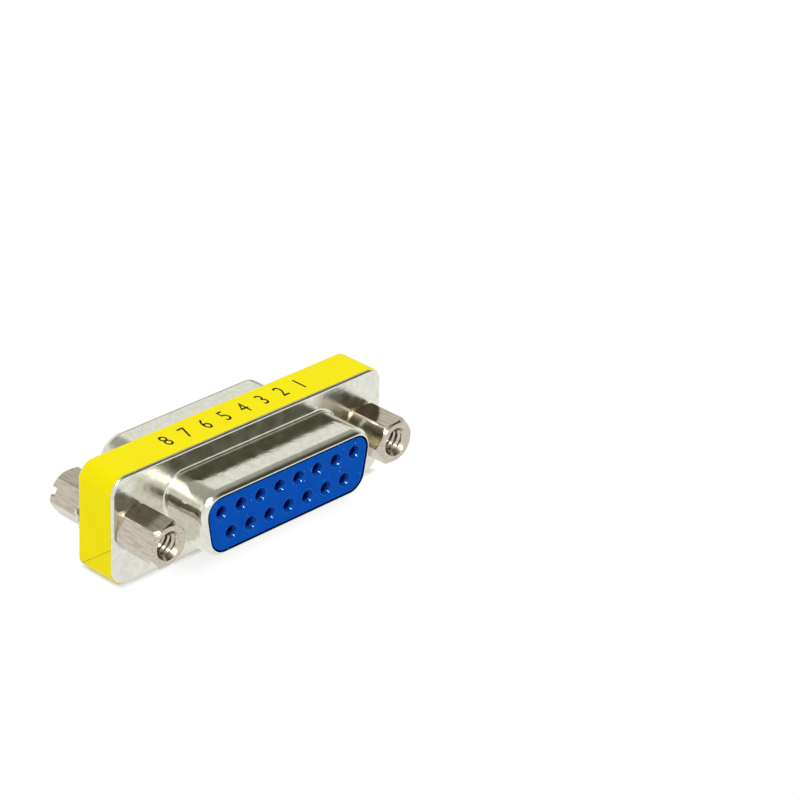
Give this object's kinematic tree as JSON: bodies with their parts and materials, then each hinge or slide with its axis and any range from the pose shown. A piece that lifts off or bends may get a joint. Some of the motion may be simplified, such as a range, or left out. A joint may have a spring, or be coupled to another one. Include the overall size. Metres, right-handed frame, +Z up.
{
  "type": "d-sub gender changer",
  "caption": "Slim adapter that joins two D-shaped plug connectors: socket faces in metal hoods on both sides, hex jack screws at the ends and a wrapped label band.",
  "frame": {"origin": "under the middle of the body, on the flat underside of the label band that the part stands on", "axes": "+X along the long side, to the right when the face with the plain hex nuts is looked at; -Y out of that face, +Y out of the face with the slotted screws; +Z up"},
  "size_m": [0.0393, 0.0172, 0.0128],
  "materials": {
    "shell_nickel": "bright nickel plate on drawn sheet steel",
    "insulator_blue": "semi-gloss moulded plastic, blue",
    "label_yellow": "gloss self-adhesive film, yellow",
    "jack_nickel": "satin nickel plate on turned brass",
    "washer_steel": "nickel plate on stamped spring steel",
    "contact_gold": "gold flash on turned brass"
  },
  "bodies": {
    "root": {"front_shell": "shell_nickel", "rear_shell": "shell_nickel", "front_insulator": "insulator_blue", "rear_insulator": "insulator_blue", "label_band": "label_yellow", "jack_nut_left": "jack_nickel", "jack_nut_right": "jack_nickel", "jack_screw_left": "jack_nickel", "jack_screw_right": "jack_nickel", "lock_washer_left": "washer_steel", "lock_washer_right": "washer_steel", "contact_01": "contact_gold", "contact_02": "contact_gold", "contact_03": "contact_gold", "contact_04": "contact_gold", "contact_05": "contact_gold", "contact_06": "contact_gold", "contact_07": "contact_gold", "contact_08": "contact_gold", "contact_09": "contact_gold", "contact_10": "contact_gold", "contact_11": "contact_gold", "contact_12": "contact_gold", "contact_13": "contact_gold", "contact_14": "contact_gold", "contact_15": "contact_gold"}
  },
  "joints": []
}
